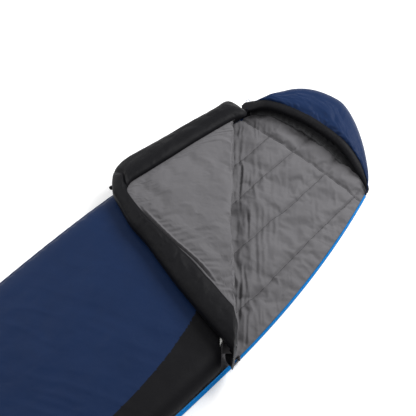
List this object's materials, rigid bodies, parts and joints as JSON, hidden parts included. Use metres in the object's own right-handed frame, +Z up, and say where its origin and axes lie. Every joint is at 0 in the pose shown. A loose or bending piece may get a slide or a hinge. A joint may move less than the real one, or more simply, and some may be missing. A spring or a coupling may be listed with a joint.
{
  "type": "sleeping bag",
  "caption": "Hooded semi-rectangular sleeping bag with a side zip, laid flat with the top panel's corner folded open, padded draft tube, neck collar and hood.",
  "frame": {"origin": "on the bag's long axis, halfway along it, in the plane it rests on", "axes": "+X towards the zip side, +Y towards the head, +Z up"},
  "size_m": [0.8411, 2.1786, 0.146],
  "materials": {
    "navy_shell": "satin",
    "black_shell": "satin",
    "grey_lining": "matte",
    "fibre_fill": "matte",
    "blue_zip_tape": "matte",
    "blue_zip_coil": "gloss",
    "zip_metal": "satin",
    "black_webbing": "matte",
    "hook_tape": "matte",
    "black_plastic": "satin",
    "spring_steel": "satin",
    "elastic_cord": "matte"
  },
  "bodies": {
    "bag": {"bottom_shell": "navy_shell", "bottom_fill": "fibre_fill", "bottom_lining": "grey_lining", "side_shell": "navy_shell", "top_shell": "navy_shell", "top_border": "black_shell", "top_fill": "fibre_fill", "top_lining": "grey_lining", "hood_wall_shell": "navy_shell", "hood_wall_fill": "fibre_fill", "hood_wall_lining": "grey_lining", "zip_tape_bottom": "blue_zip_tape", "zip_coil_bottom": "blue_zip_coil", "zip_tape_top": "blue_zip_tape", "zip_coil_top": "blue_zip_coil", "zip_stops": "black_plastic", "hang_loops": "black_webbing", "cord_lock_anchor": "black_webbing", "cord_lock_barrel": "black_plastic", "cord_lock_spring": "spring_steel", "drawcord_loop": "elastic_cord"},
    "flap": {"flap_shell": "navy_shell", "flap_border": "black_shell", "flap_fill": "fibre_fill", "flap_lining": "grey_lining", "neck_collar": "black_shell", "draft_tube": "black_shell", "flap_zip_tape": "blue_zip_tape", "flap_zip_coil": "blue_zip_coil"},
    "closure_tab": {"closure_tab": "black_webbing", "closure_hook_pad": "hook_tape"},
    "slider": {"slider_body": "zip_metal"},
    "pull": {"slider_pull": "zip_metal"},
    "hood_brim": {"brim_shell": "navy_shell", "brim_fill": "fibre_fill", "brim_lining": "grey_lining", "hood_trim": "black_shell", "hood_drawcord": "elastic_cord"},
    "lock_button": {"cord_lock_button": "black_plastic"}
  },
  "joints": [
    {"name": "flap_fold", "type": "hinge", "parent": "bag", "child": "flap", "pos_m": [0, 0.384, 0.0925], "axis": [-0.6428, 0.766, 0], "range_deg": [0, 179.8]},
    {"name": "tab_fold", "type": "hinge", "parent": "flap", "child": "closure_tab", "pos_m": [-0.3628, 0.14726, 0.114], "axis": [0.9194, -0.3934, 0], "range_deg": [0, 45]},
    {"name": "hood_lift", "type": "hinge", "parent": "bag", "child": "hood_brim", "pos_m": [0, 0.8, 0.069], "axis": [1, 0, 0], "range_deg": [0, 22]},
    {"name": "slider_travel", "type": "hinge", "parent": "bag", "child": "slider", "pos_m": [-3.21, -0.12, 0.014], "axis": [0, 0, 1], "range_deg": [0, 13.3]},
    {"name": "pull_swing", "type": "hinge", "parent": "slider", "child": "pull", "pos_m": [0.3965, -0.05988, 0.0145], "axis": [0, 0, 1], "range_deg": [0, 170]},
    {"name": "lock_press", "type": "slide", "parent": "bag", "child": "lock_button", "axis": [0, 0, -1], "range_m": [0, 0.003], "stiffness_N_per_m": 300, "springref_m": -0.002, "deforming": ["cord_lock_spring"]}
  ]
}
